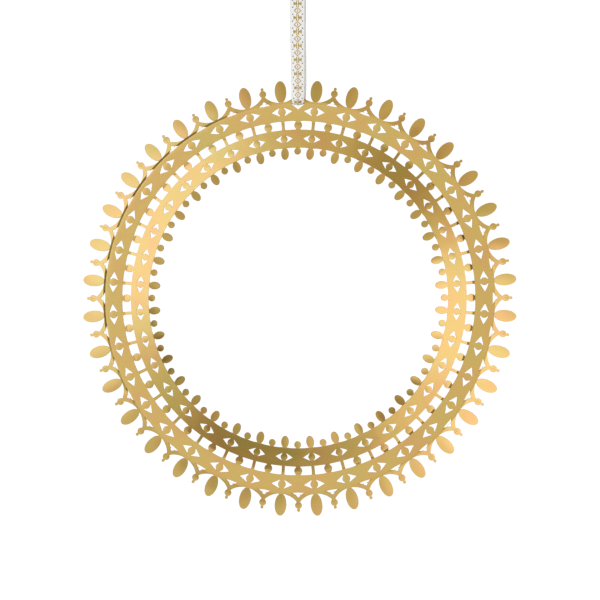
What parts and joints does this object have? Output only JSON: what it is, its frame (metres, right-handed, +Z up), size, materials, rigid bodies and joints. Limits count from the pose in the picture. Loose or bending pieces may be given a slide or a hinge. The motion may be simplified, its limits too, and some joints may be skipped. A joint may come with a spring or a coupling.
{
  "type": "hanging wreath ornament",
  "caption": "Round openwork brass wreath, one folded sheet of petals and beads, hung in a loop of printed satin ribbon.",
  "frame": {"origin": "underside of the ribbon's crown, where the loop bears on whatever it hangs from", "axes": "+Z up, the wreath's front towards -Y, +X to the viewer's right"},
  "size_m": [0.299, 0.0122, 0.3644],
  "materials": {
    "gold_plated_brass": "polished gold plating on etched brass sheet",
    "white_satin": "satin-woven polyester ribbon with a gold print",
    "white_thread": "sewn bar tack"
  },
  "bodies": {
    "hanger": {"ribbon_front_and_crown": "white_satin", "ribbon_back_leg": "white_satin", "lap_tack_upper": "white_thread", "lap_tack_lower": "white_thread"},
    "bight": {"ribbon_bight": "white_satin"},
    "wreath": {"wreath_plate": "gold_plated_brass"}
  },
  "joints": [
    {"name": "ribbon_twist", "type": "hinge", "parent": "hanger", "child": "bight", "pos_m": [0, 0, -0.0615], "axis": [0, 0, 1], "range_deg": [-180, 180]},
    {"name": "wreath_tilt", "type": "hinge", "parent": "bight", "child": "wreath", "pos_m": [0, 0, -0.081], "axis": [1, 0, 0], "range_deg": [-16, 16]}
  ]
}
